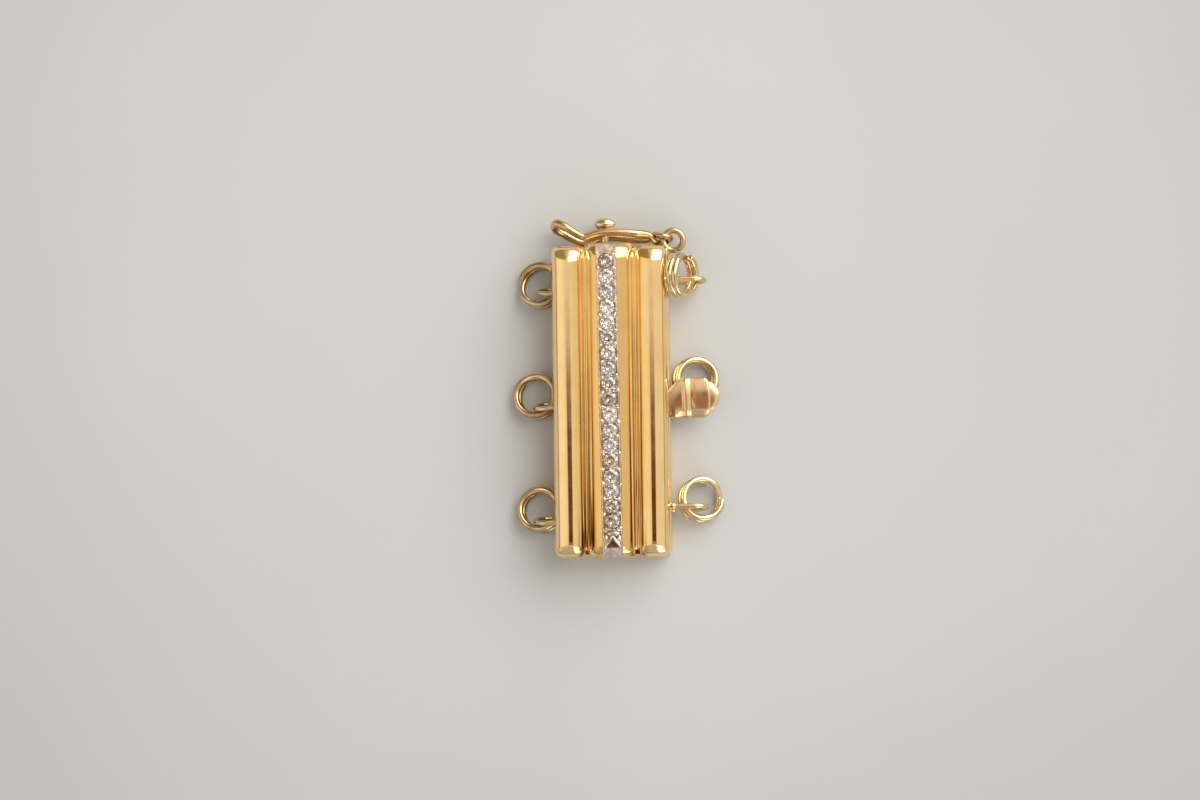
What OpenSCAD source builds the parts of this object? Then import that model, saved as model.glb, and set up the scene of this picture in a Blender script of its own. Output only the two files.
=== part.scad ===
// Three-strand box clasp with a safety catch, fastened and lying on its back.
// +X is the tongue's side, +Y the safety catch's end, +Z the jewelled face.
// The origin is the middle of the flat back.

/* [Body] */
// Length of the two outer lobes
body_length = 27.1; // [26.5:0.1:28]
// How much further the middle lobe runs at the catch's end
middle_overrun = 0.25; // [0:0.05:0.3]
// Height of the box under the lobes
box_height = 3.35; // [3.35:0.05:3.6]
// Radius of each outer half-round lobe
lobe_r = 1.4; // [1.35:0.01:1.4]
// Distance of an outer lobe's axis from the middle
lobe_x = 3.63; // [3.6:0.01:3.65]
// Radius of the middle lobe's arch
middle_r = 2.35; // [2.3:0.01:2.35]
// How far the middle lobe's axis lies below the outer lobes' axes
middle_drop = 0.75; // [0.7:0.01:0.8]
// Rounding of the lobes where they turn down at each end
end_round = 1.1; // [0.8:0.05:1.2]
// Rounding of the lobes' corners seen from above
corner_round = 0.7; // [0.3:0.05:0.8]
// Thickness of the box's walls
wall = 0.5; // [0.4:0.05:0.6]

/* [Stones] */
// Number of stones in the row
stone_count = 18; // [6:1:18]
// Distance from stone to stone
stone_pitch = 1.335; // [1.32:0.005:1.335]
// Place of the first stone along the body
first_stone_y = 12.22; // [12:0.01:12.25]
// Girdle radius of a stone
stone_r = 0.61; // [0.55:0.01:0.61]
// Width of the white strip that holds the stones
strip_width = 1.74; // [1.6:0.02:1.8]
// Shift of the strip off the body's middle, to the left
strip_shift = 0.13; // [0:0.01:0.2]
// Angle by which the hand-set strip leans to the left at the catch's end
strip_lean = 0.6; // [0:0.1:0.8]

/* [Strand loops and rings] */
// Distance from strand to strand
strand_pitch = 9.9; // [9.5:0.05:10]
// Shift of the left row of loops along the body
left_shift = -0.25; // [-0.4:0.05:0]
// Shift of the right row of loops along the body
right_shift = 0.6; // [0.5:0.05:0.6]
// Wire radius of a fixed loop
loop_wire_r = 0.225; // [0.2:0.005:0.225]
// Height over the table of the loops' middle
loop_z = 1.65; // [1.6:0.01:1.65]
// Wire radius of a split ring
ring_wire_r = 0.275; // [0.25:0.005:0.275]
// Outer diameter of a split ring
ring_od = 4.0; // [3.9:0.05:4]

/* [Tongue] */
// Thickness of the spring leaf
leaf = 0.3; // [0.25:0.01:0.3]
// Width of the thumb tab
tab_width = 3.5; // [3:0.1:3.6]
// Length of the thumb tab's flat part beyond the body
tab_reach = 3.7; // [3.3:0.1:3.8]

/* [Safety catch] */
// Wire radius of the catch at its crossing and its eye
catch_wire_r = 0.25; // [0.2:0.01:0.25]
// Wire radius of the catch's two long strands
strand_wire_r = 0.32; // [0.25:0.01:0.32]
// Half the height between the catch's two strands
catch_half = 0.85; // [0.8:0.01:0.88]
// Mean radius of the eye that the catch swings on
eye_r = 0.86; // [0.84:0.01:0.88]
// Height over the table of the catch, its eye and its peg
catch_z = 1.6; // [1.5:0.01:1.7]

/* [Hidden] */
$fn = 48;

yellow_gold = [0.87, 0.66, 0.27];
green_gold = [0.80, 0.70, 0.42];
white_gold = [0.80, 0.79, 0.77];
clear_stone = [0.88, 0.90, 0.93];

// Clearances
seam = 0.02;
running = 0.05;

// Box
half_length = body_length / 2;
box_left = -3.7;
box_right = 4.5;
box_half_y = half_length - 0.15;
cavity_top = 3.0;
middle_z = box_height - middle_drop;
middle_crest_z = middle_z + middle_r;
groove_floor = box_height + 0.25;
middle_half_x = 2.25;
lip_depth = 0.25;
lip_width = 0.28;
notch_y0 = -1.7;
notch_y1 = 1.15;

// Strip and stones
strip_top = middle_crest_z - 0.12;
strip_bottom = strip_top - 0.56;
strip_end = 0.08;
bevel_length = 0.85;
strip_edge = 0.07;
girdle = 0.03;
girdle_z = strip_top - 0.03;
crown = 0.2;
pavilion = 0.5;
table_ratio = 0.56;
seat_gap = 0.025;
grain_r = 0.16;
grain_x = 0.66;

// Tongue
bar_x = box_right + running;
bar_thick = 0.65;
bar_face = bar_x + bar_thick;
bar_top = 2.85;
bar_half_y = box_half_y - 0.05;
bend_x = -2.5;
bend_inner = 0.2;
lower_leaf_z = 0.62;
leaf_tip_z = 2.35;
leaf_tip_x = 4.15;
leaf_half_y = 12.5;
neck_y0 = -1.45;
neck_y1 = 0.92;
tab_y = 0.2;
tab_z = 2.96;
tab_start = 6.1;
tab_end = 5.0 + tab_reach;
tab_low_round = 0.95;
tab_high_round = 0.45;
nose_x = 8.1;
nose_y = 0.35;
nose_r = 1.37;
rib_x = 6.6;
rib_r = 0.3;

// Loops
loop_half = 0.975;
bead_r = 0.36;
left_reach = [2.65, 3.08, 3.16];
left_nudge = [-0.05, 0.15, -0.05];
left_yaw = [0, 8, 4];
left_roll = [-9, -9, -9];
right_reach = [3.3, 3.0, 3.2];
right_nudge = [-0.05, 0, -0.03];
right_roll = [-9, 9, -9];

// Safety catch, eye and peg
eye_x = 5.64;
eye_y = 13.97;
eye_wire_r = 0.24;
peg_x = -0.3;
peg_z = catch_z;
peg_head_y = 15.45;
peg_r = 0.3;
head_half_x = 0.92;
head_half_y = 0.45;

// Split rings, a row for each: [x, y, z of the middle, compass angle of the high side, tilt, angle of the step]
left_rings = [
    [-5.95, 10.18, 1.08, -35, 18, 195],
    [-6.45, 0.52, 1.05, -33, 17, 106],
    [-6.25, -9.40, 1.08, -35, 18, 80]
];
right_rings = [
    [6.38, 10.89, 2.94, 180, 57, 95],
    [7.44, 1.79, 1.03, 200, 16.3, 305],
    [7.80, -8.66, 1.08, 210, 18, 30]
];
ring_r = ring_od / 2 - ring_wire_r;
coil_pitch = 2 * ring_wire_r + seam;
coil_slip = 0.12;
coil_flat = 292.5;
coil_ramp = 67.5;
coil_steps = 29;

function left_y(i) = left_shift + (1 - i) * strand_pitch + left_nudge[i];
function right_y(i) = right_shift + (1 - i) * strand_pitch + right_nudge[i];
function stone_y(i) = first_stone_y - i * stone_pitch;

// Points on an arc of a circle, from angle a to angle b
function arc(x, y, r, a, b, n) = [
    for (i = [0:n]) [x + r * cos(a + (b - a) * i / n), y + r * sin(a + (b - a) * i / n)]
];

// A block whose top edges at both ends are rounded, seen from the side, running across the body
module end_block(x0, x1, y0, y1, z0, z1, r) {
    translate([x0, 0, 0])
        rotate([90, 0, 90])
            linear_extrude(x1 - x0)
                polygon(concat(
                    [[y0, z0], [y1, z0]],
                    arc(y1 - r, z1 - r, r, 0, 90, 6),
                    arc(y0 + r, z1 - r, r, 90, 180, 6)
                ));
}

// A block with rounded corners, seen from above
module plan_block(x0, x1, y0, y1, z0, z1, r) {
    translate([0, 0, z0])
        linear_extrude(z1 - z0)
            polygon(concat(
                arc(x1 - r, y1 - r, r, 0, 90, 4),
                arc(x0 + r, y1 - r, r, 90, 180, 4),
                arc(x0 + r, y0 + r, r, 180, 270, 4),
                arc(x1 - r, y0 + r, r, 270, 360, 4)
            ));
}

// A round bar along the body
module bar_along(x, z, r, y0, y1) {
    translate([x, y1, z])
        rotate([90, 0, 0])
            cylinder(h = y1 - y0, r = r);
}

// One half-round lobe of the top, with its ends turned down and its corners rounded
module lobe(x, z, r, half_x, y0, y1) {
    intersection() {
        bar_along(x, z, r, y0 - 1, y1 + 1);
        end_block(x - r, x + r, y0, y1, box_height - 0.05, z + r, end_round);
        plan_block(x - half_x, x + half_x, y0, y1, 0, z + r + 1, corner_round);
    }
}

module lobes() {
    lobe(-lobe_x, box_height, lobe_r, lobe_r, -half_length, half_length);
    lobe(lobe_x, box_height, lobe_r, lobe_r, -half_length, half_length);
    lobe(0, middle_z, middle_r, middle_half_x, -half_length, half_length + middle_overrun);
    translate([-lobe_x + 1, -box_half_y + 0.1, box_height - 0.1])
        cube([2 * lobe_x - 2, 2 * box_half_y - 0.2, groove_floor - box_height + 0.1]);
}

// The space for the tongue: a box open to the right, with a latch lip and a notch for the tab's neck
module tongue_space() {
    inside_y = box_half_y - wall;
    translate([box_left + wall, -inside_y, wall])
        cube([box_right - lip_width - box_left - wall, 2 * inside_y, cavity_top - wall]);
    translate([0, -inside_y, wall])
        cube([box_right + 1, 2 * inside_y, cavity_top - lip_depth - wall]);
    translate([box_right - 0.75, notch_y0, cavity_top - lip_depth - 0.1])
        cube([1.75, notch_y1 - notch_y0, box_height - 0.05 - cavity_top + lip_depth + 0.1]);
}

// A fixed wire staple: two legs one above the other, a round end and a bead of solder at each root
module strand_loop(reach) {
    straight = reach - loop_wire_r - loop_half;
    for (side = [-1, 1]) {
        translate([-0.25, 0, side * loop_half])
            rotate([0, 90, 0])
                cylinder(h = straight + 0.25, r = loop_wire_r);
        translate([0.1, 0, side * loop_half])
            sphere(r = bead_r);
    }
    translate([straight, 0, 0])
        rotate([90, 0, 0])
            rotate([0, 0, -90])
                rotate_extrude(angle = 180)
                    translate([loop_half, 0])
                        circle(r = loop_wire_r, $fn = 24);
}

module left_loops() {
    for (i = [0:2])
        translate([box_left, left_y(i), loop_z])
            rotate([0, 0, 180 + left_yaw[i]])
                rotate([left_roll[i], 0, 0])
                    strand_loop(left_reach[i]);
}

module right_loops() {
    for (i = [0:2])
        translate([bar_face, right_y(i), loop_z])
            rotate([right_roll[i], 0, 0])
                strand_loop(right_reach[i]);
}

// The peg that the safety catch closes over: a round post with an oval head
module peg() {
    translate([peg_x, peg_head_y, peg_z]) {
        rotate([90, 0, 0])
            cylinder(h = peg_head_y - box_half_y + 0.2, r = peg_r);
        rotate([0, 90, 0])
            rotate_extrude()
                polygon([
                    for (i = [0:8])
                        [head_half_y * cos(-90 + 22.5 * i), head_half_x * sin(-90 + 22.5 * i)]
                ]);
    }
}

// The hollows under the three lobes, open to the space for the tongue
module lobe_hollows() {
    hollow_y = half_length - 1;
    for (side = [-1, 1])
        intersection() {
            bar_along(side * lobe_x, box_height, lobe_r - 0.45, -hollow_y, hollow_y);
            translate([box_left + wall, -half_length, 1])
                cube([box_right - lip_width - 0.1 - box_left - wall, body_length, 5]);
        }
    bar_along(0, middle_z, middle_r - 0.95, -hollow_y, hollow_y);
}

module case() {
    color(yellow_gold)
        difference() {
            union() {
                plan_block(box_left, box_right, -box_half_y, box_half_y, 0, box_height, 0.2);
                lobes();
                left_loops();
                peg();
            }
            tongue_space();
            lobe_hollows();
            on_strip()
                translate([-strip_width / 2 - seam, -half_length - 1, strip_bottom - seam])
                    cube([strip_width + 2 * seam, body_length + 2, 2]);
        }
}

// Puts the strip and what sits in it in their place on the middle lobe
module on_strip() {
    translate([-strip_shift, 0, 0])
        rotate([0, 0, strip_lean])
            children();
}

// The white strip's outline from the side, bevelled at both ends
module strip_blank() {
    y0 = -half_length + strip_end;
    y1 = half_length + middle_overrun - strip_end;
    translate([-strip_width / 2, 0, 0])
        rotate([90, 0, 90])
            linear_extrude(strip_width)
                polygon([
                    [y0, strip_bottom],
                    [y1, strip_bottom],
                    [y1, strip_bottom + strip_edge],
                    [y1 - bevel_length, strip_top],
                    [y0 + bevel_length, strip_top],
                    [y0, strip_bottom + strip_edge]
                ]);
}

// The pointed cut behind the last stone
module tail_cut() {
    translate([0, 0, strip_top - 0.22])
        linear_extrude(1)
            polygon([[0, -11.8], [-0.5, -12.65], [0.5, -12.65]]);
}

module seat(i) {
    translate([0, stone_y(i), 0]) {
        translate([0, 0, girdle_z - girdle / 2 - pavilion])
            cylinder(h = pavilion, r1 = seat_gap, r2 = stone_r + seat_gap);
        translate([0, 0, girdle_z - girdle / 2])
            cylinder(h = 1, r = stone_r + seat_gap);
    }
}

module grains() {
    for (i = [0:stone_count], side = [-1, 1])
        translate([side * grain_x, stone_y(i) + stone_pitch / 2, strip_top - 0.02])
            sphere(r = grain_r, $fn = 16);
}

module stone_plate() {
    color(white_gold)
        on_strip()
            difference() {
                union() {
                    strip_blank();
                    grains();
                }
                tail_cut();
                for (i = [0:stone_count - 1])
                    seat(i);
            }
}

// A round brilliant: an eight-sided table, star and kite facets, a sixteen-sided girdle and a pavilion
module stone(i) {
    table = [for (k = [0:7]) [stone_r * table_ratio * cos(45 * k + 22.5), stone_r * table_ratio * sin(45 * k + 22.5)]];
    star = [for (k = [0:7]) [stone_r * 0.78 * cos(45 * k), stone_r * 0.78 * sin(45 * k)]];
    rim = [for (k = [0:15]) [stone_r * cos(22.5 * k), stone_r * sin(22.5 * k)]];
    points = concat(
        [for (p = table) [p[0], p[1], girdle / 2 + crown]],
        [for (p = star) [p[0], p[1], girdle / 2 + crown * 0.56]],
        [for (p = rim) [p[0], p[1], girdle / 2]],
        [for (p = rim) [p[0], p[1], -girdle / 2]],
        [[0, 0, -girdle / 2 - pavilion]]
    );
    faces = concat(
        [[for (k = [7:-1:0]) k]],
        [for (k = [0:7]) [(k + 7) % 8, k, 8 + k]],
        [for (k = [0:7]) [8 + k, k, 16 + 2 * k + 1]],
        [for (k = [0:7]) [16 + 2 * k + 1, k, 8 + (k + 1) % 8]],
        [for (k = [0:7]) [16 + 2 * k, 8 + k, 16 + 2 * k + 1]],
        [for (k = [0:7]) [16 + (2 * k + 15) % 16, 8 + k, 16 + 2 * k]],
        [for (k = [0:15]) [16 + k, 16 + (k + 1) % 16, 32 + (k + 1) % 16, 32 + k]],
        [for (k = [0:15]) [48, 32 + k, 32 + (k + 1) % 16]]
    );
    color(clear_stone)
        on_strip()
            translate([0, stone_y(i), girdle_z])
                polyhedron(points, faces);
}

// The folded spring leaf, seen from the catch's end, drawn as it stands when it is squeezed
module leaf_blank() {
    bend_z = lower_leaf_z + leaf + bend_inner;
    upper_z = bend_z + bend_inner;
    polygon(concat(
        [[bar_x + 0.1, lower_leaf_z], [bar_x + 0.1, lower_leaf_z + leaf]],
        arc(bend_x, bend_z, bend_inner, 270, 90, 6),
        [[leaf_tip_x, leaf_tip_z], [leaf_tip_x, leaf_tip_z + leaf]],
        [[bend_x, upper_z + leaf]],
        arc(bend_x, bend_z, bend_inner + leaf, 90, 270, 8)
    ));
}

// The neck climbs from the leaf, runs out over the end bar and carries the tab
module neck_blank() {
    polygon([
        [3.2, leaf_tip_z - 0.05],
        [3.7, leaf_tip_z + 0.05],
        [4.1, tab_z],
        [tab_start + 0.2, tab_z],
        [tab_start + 0.2, tab_z + leaf],
        [4.0, tab_z + leaf],
        [3.4, leaf_tip_z + leaf - 0.08],
        [3.2, leaf_tip_z + leaf - 0.1]
    ]);
}

module along_y(y0, y1) {
    translate([0, y1, 0])
        rotate([90, 0, 0])
            linear_extrude(y1 - y0)
                children();
}

module thumb_tab() {
    tab_y0 = tab_y - tab_width / 2;
    tab_y1 = tab_y + tab_width / 2;
    translate([0, 0, tab_z])
        linear_extrude(leaf)
            polygon([[5.0, neck_y0], [5.0, neck_y1], [tab_start, tab_y1 - 0.1], [tab_start, tab_y0 + 0.1]]);
    difference() {
        union() {
            translate([0, 0, tab_z])
                linear_extrude(leaf + 0.06)
                    polygon(concat(
                        [[tab_start - 0.05, tab_y1], [tab_start - 0.05, tab_y0]],
                        arc(tab_end - tab_low_round, tab_y0 + tab_low_round, tab_low_round, 270, 360, 8),
                        arc(tab_end - tab_high_round, tab_y1 - tab_high_round, tab_high_round, 0, 90, 5)
                    ));
            intersection() {
                bar_along(rib_x, tab_z + leaf, rib_r, tab_y0 + 0.1, tab_y1 - 0.1);
                translate([0, -5, tab_z])
                    cube([10, 10, 2]);
            }
        }
        translate([rib_x + rib_r, tab_y0 - 1, tab_z + leaf - 0.12])
            cube([0.42, tab_width + 2, 1]);
    }
    translate([nose_x, nose_y, tab_z])
        rotate_extrude()
            polygon([[0, 0], [nose_r, 0], [nose_r, 0.1], [nose_r - 0.12, 0.24], [nose_r - 0.35, 0.34], [0, 0.34]]);
}

// The wire eye for the safety catch and its short shank from the end bar
module eye() {
    translate([eye_x, eye_y, catch_z])
        rotate_extrude()
            translate([eye_r, 0])
                circle(r = eye_wire_r, $fn = 24);
    translate([bar_x + 0.3, bar_half_y - 0.75, catch_z])
        rotate([0, 90, 52])
            cylinder(h = 0.82, r = eye_wire_r);
}

module tongue() {
    color(yellow_gold) {
        plan_block(bar_x, bar_face, -bar_half_y, bar_half_y, running, bar_top, 0.15);
        along_y(-leaf_half_y, leaf_half_y)
            leaf_blank();
        along_y(neck_y0, neck_y1)
            neck_blank();
        thumb_tab();
        right_loops();
        eye();
    }
}

// A wire swept through its points: r is one radius or a list with one for each point,
// each ring has the given sides, and the ends meet or are capped
function unit(v) = v / norm(v);
function along(points, i, closed) =
    let (n = len(points))
    closed ? unit(points[(i + 1) % n] - points[(i + n - 1) % n])
    : unit(points[min(i + 1, n - 1)] - points[max(i - 1, 0)]);

module sweep(points, r, sides, up, closed) {
    n = len(points);
    skin = [
        for (i = [0:n - 1])
            let (t = along(points, i, closed))
            let (a = unit(cross(up, t)))
            let (b = cross(t, a))
            let (thick = is_list(r) ? r[i] : r)
            for (k = [0:sides - 1])
                points[i] + thick * (a * sin(360 * k / sides) + b * cos(360 * k / sides))
    ];
    last = closed ? n - 1 : n - 2;
    walls = [
        for (i = [0:last], k = [0:sides - 1])
            let (j = (i + 1) % n)
            let (m = (k + 1) % sides)
            [i * sides + k, i * sides + m, j * sides + m, j * sides + k]
    ];
    caps = closed ? [] : [
        [for (k = [sides - 1:-1:0]) k],
        [for (k = [0:sides - 1]) (n - 1) * sides + k]
    ];
    polyhedron(skin, concat(walls, caps));
}

// Two flat turns of wire, one on the other, joined by a short ramp, in the ring's own frame
function coil_point(g, step_angle) =
    let (layer = min(max((g - coil_flat) / coil_ramp, 0), 1) - 0.5)
    let (a = g + step_angle - coil_flat - coil_ramp / 2)
    [ring_r * cos(a) - layer * coil_slip, ring_r * sin(a), layer * coil_pitch];

// A split ring: row is [x, y, z, angle of the high side, tilt, angle of the step]
module split_ring(row) {
    turn = 2 * coil_flat + coil_ramp;
    points = [
        for (i = [0:coil_steps]) coil_point(turn * i / coil_steps, row[5] - row[3])
    ];
    color(green_gold)
        translate([row[0], row[1], row[2]])
            rotate([0, 0, row[3]])
                rotate([0, -row[4], 0])
                    sweep(points, ring_wire_r, 6, [0, 0, 1], false);
}

// The catch's two strands, a row for each step: [x, y of the upper, y of the lower, share of the half height]
catch_route = [
    [-4.55, 15.42, 14.80, 0.5],
    [-4.00, 15.28, 14.45, 0.88],
    [-3.40, 14.94, 14.18, 1.0],
    [-2.75, 14.55, 13.96, 1.0],
    [-2.15, 14.32, 13.86, 1.0],
    [-1.50, 14.52, 13.98, 1.0],
    [-0.80, 14.68, 14.20, 1.0],
    [0.10, 14.74, 14.34, 1.0],
    [1.30, 14.70, 14.20, 1.0],
    [2.40, 14.60, 14.08, 0.94],
    [3.00, 14.56, 14.05, 0.72]
];
// Where the strands cross, rows of [x, y, height] for the strand that is on top and for the other
cross_top = [[3.48, 14.46, 0.50], [3.74, 14.24, 0.38], [4.00, 13.92, 0.14], [4.24, 13.82, -0.22]];
cross_under = [[3.44, 14.08, -0.48], [3.70, 14.18, -0.38], [3.95, 14.42, -0.18], [4.24, 14.48, 0.14]];
catch_tip = [-4.66, 15.07, 0];
thin_start = 1.3;
thin_end = 3.0;
small_loop_x = eye_x - eye_r;
small_loop_r = 0.62;
small_loop_lean = 0.28;

function strand(upper) = [
    for (p = catch_route) [p[0], upper ? p[1] : p[2], (upper ? 1 : -1) * p[3] * catch_half]
];
function reversed(list) = [for (i = [len(list) - 1:-1:0]) list[i]];
function small_loop() = [
    for (a = [-130:26:130])
        [
            small_loop_x + small_loop_r * cos(a),
            eye_y + 0.13 + small_loop_lean * sin(a * 0.69),
            small_loop_r * sin(a)
        ]
];
function smooth_closed(points, cuts) =
    let (n = len(points))
    [
        for (i = [0:n - 1], c = [0:cuts - 1])
            let (t = c / cuts)
            let (p0 = points[(i + n - 1) % n])
            let (p1 = points[i])
            let (p2 = points[(i + 1) % n])
            let (p3 = points[(i + 2) % n])
            0.5 * (2 * p1 + (p2 - p0) * t + (2 * p0 - 5 * p1 + 4 * p2 - p3) * t * t
                + (3 * p1 - 3 * p2 + p3 - p0) * t * t * t)
    ];

module safety_catch() {
    points = concat(
        [catch_tip],
        strand(true), cross_top,
        small_loop(),
        reversed(cross_under), reversed(strand(false))
    );
    wire = smooth_closed(points, 2);
    // The wire thins from the strands to the crossing
    thick = [
        for (p = wire)
            let (share = min(max((p[0] - thin_start) / (thin_end - thin_start), 0), 1))
            strand_wire_r + (catch_wire_r - strand_wire_r) * share
    ];
    color(green_gold)
        translate([0, 0, catch_z])
            sweep(wire, thick, 6, [0, 1, 0], true);
}

case();
stone_plate();
tongue();
safety_catch();
split_ring(left_rings[0]);  // ring_left_1
split_ring(left_rings[1]);  // ring_left_2
split_ring(left_rings[2]);  // ring_left_3
split_ring(right_rings[0]);  // ring_right_1
split_ring(right_rings[1]);  // ring_right_2
split_ring(right_rings[2]);  // ring_right_3
stone(0);  // stone_01
stone(1);  // stone_02
stone(2);  // stone_03
stone(3);  // stone_04
stone(4);  // stone_05
stone(5);  // stone_06
stone(6);  // stone_07
stone(7);  // stone_08
stone(8);  // stone_09
stone(9);  // stone_10
stone(10);  // stone_11
stone(11);  // stone_12
stone(12);  // stone_13
stone(13);  // stone_14
stone(14);  // stone_15
stone(15);  // stone_16
stone(16);  // stone_17
stone(17);  // stone_18
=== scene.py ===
import math
import random

import bmesh
import bpy
from mathutils import Matrix, Vector


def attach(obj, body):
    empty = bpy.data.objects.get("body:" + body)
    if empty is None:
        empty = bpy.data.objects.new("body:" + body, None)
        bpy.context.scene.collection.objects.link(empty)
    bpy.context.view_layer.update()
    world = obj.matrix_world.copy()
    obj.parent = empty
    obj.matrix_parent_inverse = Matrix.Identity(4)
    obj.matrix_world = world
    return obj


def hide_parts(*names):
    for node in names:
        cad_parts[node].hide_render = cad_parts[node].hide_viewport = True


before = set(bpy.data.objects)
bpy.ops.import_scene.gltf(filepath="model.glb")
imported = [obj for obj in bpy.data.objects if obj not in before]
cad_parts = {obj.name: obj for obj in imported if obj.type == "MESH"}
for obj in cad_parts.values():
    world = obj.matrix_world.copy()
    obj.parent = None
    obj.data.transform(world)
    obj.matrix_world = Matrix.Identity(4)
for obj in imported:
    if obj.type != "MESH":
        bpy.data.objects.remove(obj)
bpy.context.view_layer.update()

MM = 0.001  # one millimetre, in metres; shapes are given in millimetres
BLUNT = 0.35  # how far a wire's cut end bulges out, as a share of its radius


def sind(degrees):
    return math.sin(math.radians(degrees))


def cosd(degrees):
    return math.cos(math.radians(degrees))


def within(value):
    """The value, held between 0 and 1."""
    return min(max(value, 0), 1)


def turned(degrees, axis):
    return Matrix.Rotation(math.radians(degrees), 4, axis)


class Form:
    """Closed shells of points and faces, in millimetres."""

    def __init__(self):
        self.points = []
        self.faces = []

    def add(self, points, faces):
        start = len(self.points)
        self.points += [tuple(p) for p in points]
        self.faces += [[start + i for i in f] for f in faces]

    def loft(self, rings, closed=False):
        """Joins rings of the same count. An open loft gets a cap at each end."""
        count = len(rings[0])
        points = [p for ring in rings for p in ring]
        faces = []
        steps = len(rings) if closed else len(rings) - 1
        for i in range(steps):
            j = (i + 1) % len(rings)
            for k in range(count):
                m = (k + 1) % count
                faces.append([i * count + k, i * count + m, j * count + m, j * count + k])
        if not closed:
            last = (len(rings) - 1) * count
            faces.append(list(range(count))[::-1])
            faces.append([last + k for k in range(count)])
        self.add(points, faces)

    def tube(self, path, r, sides, up, closed=False):
        """A round wire along the path, of one radius or a list of them. An open wire has softened ends."""
        path = [Vector(p) for p in path]
        up = Vector(up)
        n = len(path)
        frames = []
        for i, p in enumerate(path):
            if closed:
                t = (path[(i + 1) % n] - path[i - 1]).normalized()
            else:
                t = (path[min(i + 1, n - 1)] - path[max(i - 1, 0)]).normalized()
            a = up.cross(t).normalized()
            frames.append((p, t, a, t.cross(a), r[i] if isinstance(r, list) else r))
        if not closed:
            frames = softened_end(frames[0], -1)[::-1] + frames + softened_end(frames[-1], 1)
        rings = []
        for p, _, a, b, radius in frames:
            ring = []
            for k in range(sides):
                w = 2 * math.pi * k / sides
                ring.append(p + radius * (a * math.sin(w) + b * math.cos(w)))
            rings.append(ring)
        self.loft(rings, closed)

    def lathe(self, profile, place, steps):
        """Turns a profile of (radius, height) about an axis. Both ends lie on the axis."""
        inner = profile[1:-1]
        points = [place @ Vector((0, 0, profile[0][1]))]
        for r, z in inner:
            for k in range(steps):
                w = 2 * math.pi * k / steps
                points.append(place @ Vector((r * math.cos(w), r * math.sin(w), z)))
        points.append(place @ Vector((0, 0, profile[-1][1])))
        faces = []
        for k in range(steps):
            m = (k + 1) % steps
            faces.append([0, 1 + m, 1 + k])
            for i in range(len(inner) - 1):
                a, b = 1 + i * steps, 1 + (i + 1) * steps
                faces.append([a + k, a + m, b + m, b + k])
            end = 1 + (len(inner) - 1) * steps
            faces.append([end + k, end + m, len(points) - 1])
        self.add(points, faces)

    def ball(self, place, r, steps):
        """A ball of radius r at the place, which may squash it."""
        self.lathe([(r * sind(a), -r * cosd(a)) for a in range(0, 181, 15)], place, steps)

    def slab(self, x0, x1, y0, y1, z0, z1, corner, edge):
        """A block with rounded corners in plan and softened edges above and below."""
        steps = [(edge * (1 - sind(a)), edge * (1 - cosd(a))) for a in (0, 22.5, 45, 67.5, 90)]
        levels = [(i, z0 + z) for i, z in steps] + [(i, z1 - z) for i, z in reversed(steps)]
        self.loft([outline(x0 + i, x1 - i, y0 + i, y1 - i, z, corner - min(i, corner * 0.8))
                   for i, z in levels])

    def prism(self, outline_xz, y0, y1):
        """A flat outline in x and z, drawn out along y."""
        self.loft([[(x, y, z) for x, z in outline_xz] for y in (y0, y1)])


def squashed(centre, share):
    """A place that squashes what is put there to a share of its size in x, y and z."""
    return Matrix.Translation(centre) @ Matrix.Diagonal((*share, 1))


def softened_end(end, way):
    """Frames beyond a wire's end, drawn in towards its axis; way is -1 at the start and 1 at the end."""
    p, t, a, b, r = end
    return [(p + way * t * r * BLUNT * sind(d), t, a, b, r - r * BLUNT * (1 - cosd(d)))
            for d in (30, 60, 90)]


def outline(x0, x1, y0, y1, z, r):
    """A rounded rectangle in plan. A point near each end of a straight side keeps its shading flat."""
    points = []
    beside = min(0.1, (x1 - x0 - 2 * r) / 3, (y1 - y0 - 2 * r) / 3)
    centres = ((x1 - r, y1 - r), (x0 + r, y1 - r), (x0 + r, y0 + r), (x1 - r, y0 + r))
    for quarter, (cx, cy) in enumerate(centres):
        start = 90 * quarter
        corner = [(cx + r * cosd(start + a), cy + r * sind(start + a), z) for a in range(0, 91, 15)]
        first, last = corner[0], corner[-1]
        points.append((first[0] + beside * sind(start), first[1] - beside * cosd(start), z))
        points += corner
        points.append((last[0] - beside * cosd(start), last[1] - beside * sind(start), z))
    return points


def soft_min(a, b, k):
    """The lower of two numbers, blended where they are within k of each other."""
    h = max(k - abs(a - b), 0) / k
    return min(a, b) - h * h * k / 4


def arc(x, z, r, a, b, n):
    """Points on a circle about (x, z), from angle a to angle b in n steps."""
    return [(x + r * cosd(a + (b - a) * i / n), z + r * sind(a + (b - a) * i / n)) for i in range(n + 1)]


def smooth_loop(points, cuts):
    """A closed curve through the points."""
    points = [Vector(p) for p in points]
    n = len(points)
    out = []
    for i in range(n):
        p0, p1, p2, p3 = points[i - 1], points[i], points[(i + 1) % n], points[(i + 2) % n]
        for c in range(cuts):
            t = c / cuts
            out.append(0.5 * (2 * p1 + (p2 - p0) * t + (2 * p0 - 5 * p1 + 4 * p2 - p3) * t * t
                              + (3 * p1 - 3 * p2 + p3 - p0) * t ** 3))
    return out


# Materials

NONE, WHOLE = (0, 0, 0), (1, 1, 1)
ALONG_Y = (1, 0.05, 1)  # draws a pattern out along the lobes
RECESS_SHADE_REACH = 0.0005  # metres over which neighbouring metal paints shade into a recess
RECESS_SHADE_SHARE = 0.55
SCRATCH_SCALE = 3200
SCRATCH_DEPTH = 0.0000012


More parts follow.
